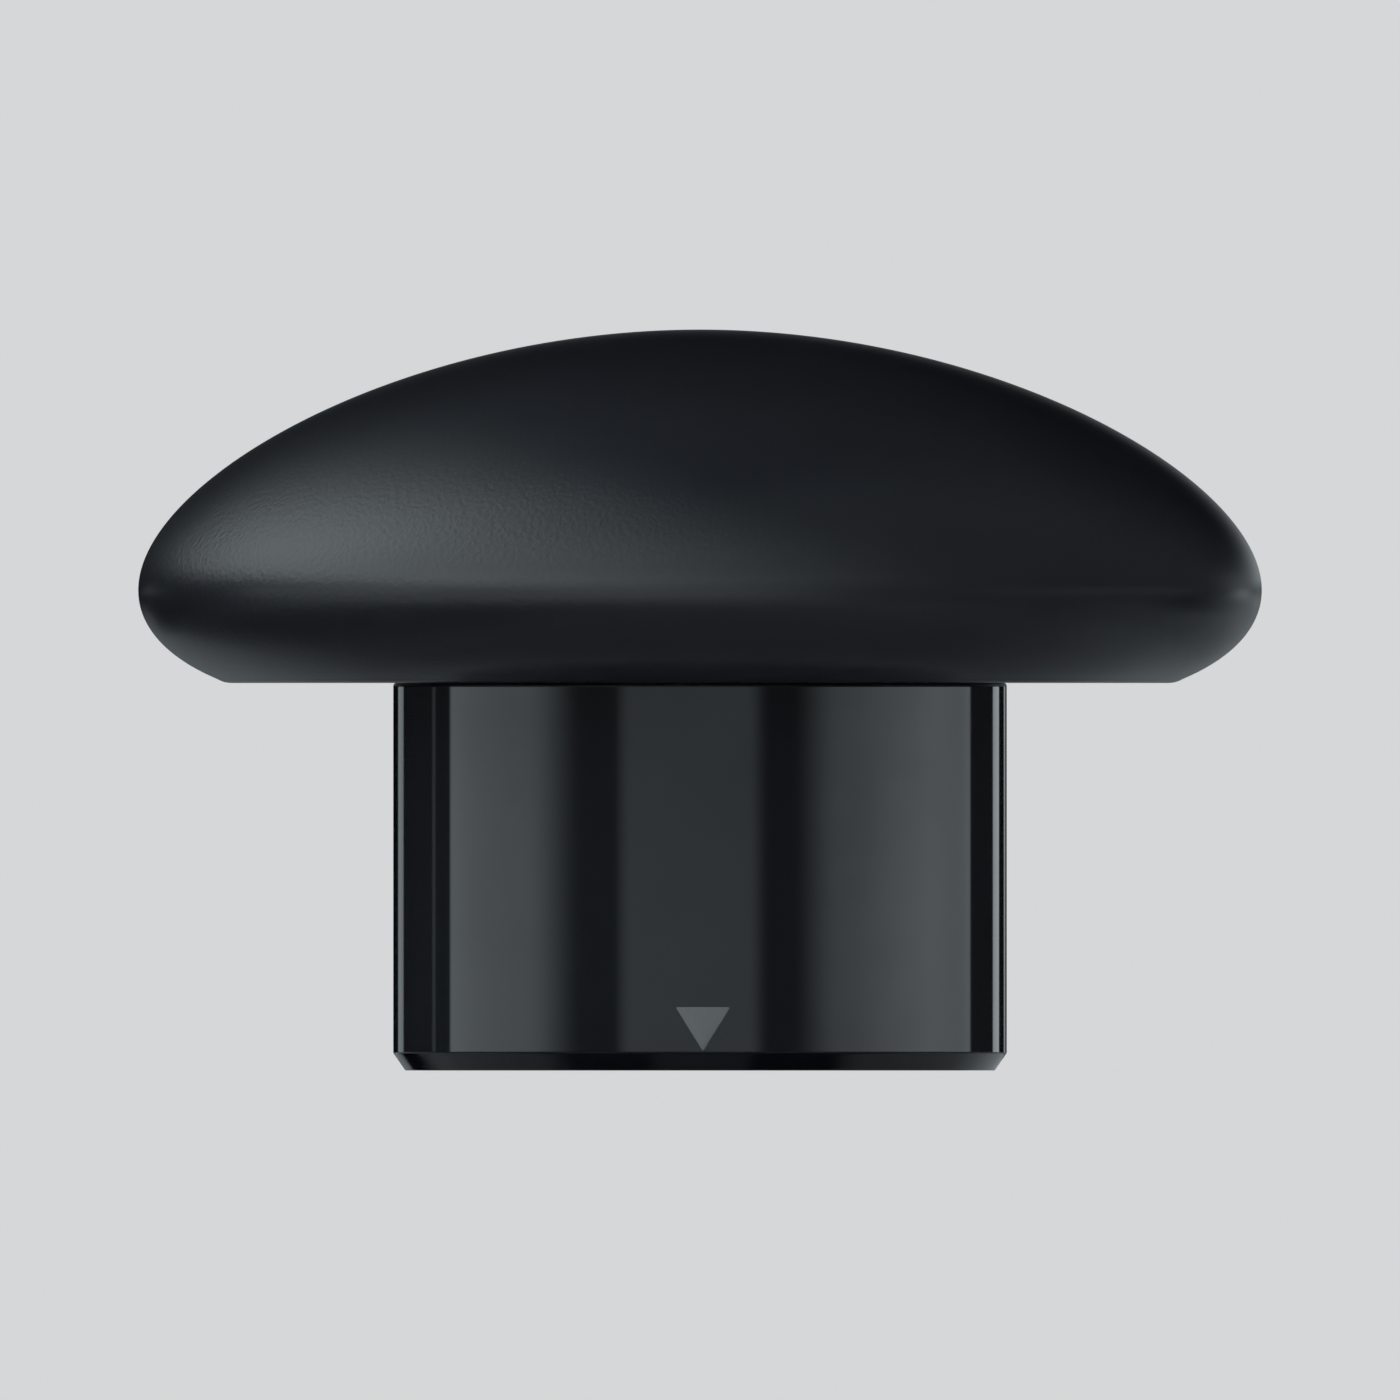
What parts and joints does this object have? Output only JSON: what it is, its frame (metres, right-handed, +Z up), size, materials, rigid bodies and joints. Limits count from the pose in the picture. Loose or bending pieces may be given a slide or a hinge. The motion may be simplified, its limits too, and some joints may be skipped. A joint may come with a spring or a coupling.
{
  "type": "thumbstick cap",
  "caption": "Push-on thumbstick cap: a matt domed head on a short gloss barrel that is hollow below, with ribs that grip the stick's post.",
  "frame": {"origin": "centre of the rim that the barrel stands on", "axes": "+Z up through the middle of the head, -Y towards the printed triangle, +X to the right when that triangle is in front"},
  "size_m": [0.0186, 0.0186, 0.0122],
  "materials": {
    "head": "fine moulded grain, soft sheen, near black",
    "barrel": "polished mould finish, near black",
    "print": "flat grey pad-printed ink"
  },
  "bodies": {
    "root": {"domed_head": "head", "stem_barrel": "barrel", "index_mark": "print"}
  },
  "joints": []
}
